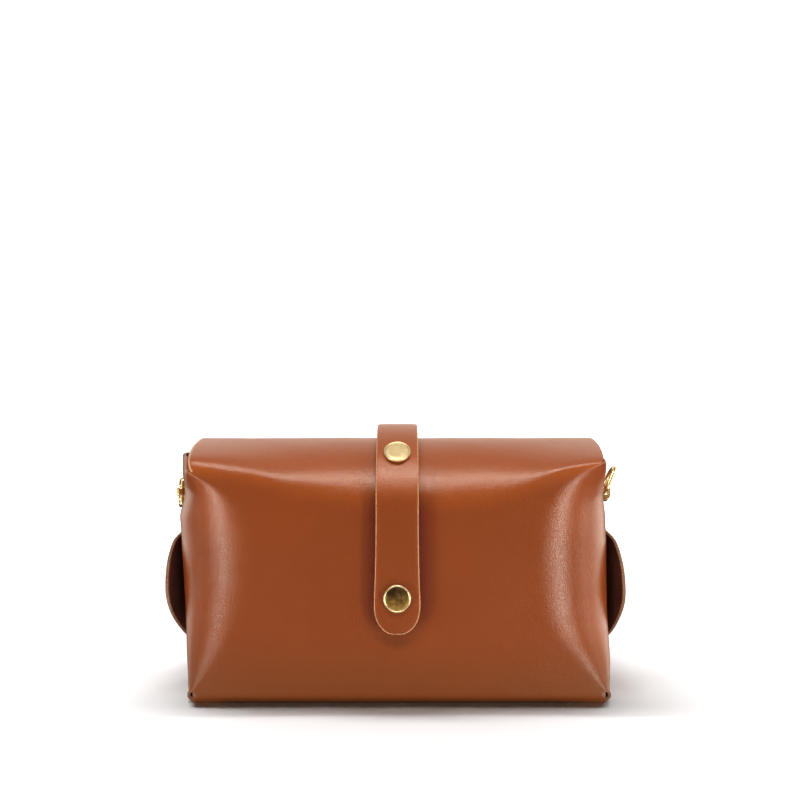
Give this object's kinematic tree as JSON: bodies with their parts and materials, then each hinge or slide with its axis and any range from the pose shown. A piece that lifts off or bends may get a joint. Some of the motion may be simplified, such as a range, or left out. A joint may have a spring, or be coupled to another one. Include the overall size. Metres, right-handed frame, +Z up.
{
  "type": "mini handbag",
  "caption": "Small box-shaped leather handbag folded from one sheet, with an arched flap, a snap-down closing strap and swinging D-rings at the sides.",
  "frame": {"origin": "centre of the bag's box at floor level, under the bottom panel", "axes": "+X to the bag's right as seen from the front, +Y from the front to the back, +Z up"},
  "size_m": [0.228, 0.091, 0.1281],
  "materials": {
    "leather": "semi-gloss tan-brown leather with raw light cut edges",
    "brass": "polished pale brass"
  },
  "bodies": {
    "bag": {"body_shell": "leather", "gusset_left": "leather", "gusset_right": "leather", "closing_strap": "leather", "snap_cap_upper": "brass", "snap_cap_lower": "brass", "snap_stud_upper": "brass", "snap_stud_lower": "brass", "strap_rivet_back": "brass", "ring_post_left": "brass", "ring_post_right": "brass"},
    "ring_left": {"d_ring_left": "brass"},
    "ring_right": {"d_ring_right": "brass"}
  },
  "joints": [
    {"name": "ring_left_swing", "type": "hinge", "parent": "bag", "child": "ring_left", "pos_m": [-0.10824, 0.00181, 0.09327], "axis": [0.0193, -0.1733, -0.9847], "range_deg": [-152, 6]},
    {"name": "ring_right_swing", "type": "hinge", "parent": "bag", "child": "ring_right", "pos_m": [0.10746, 0.00196, 0.09337], "axis": [-0.0192, -0.9396, 0.3417], "range_deg": [-144, 14]}
  ]
}
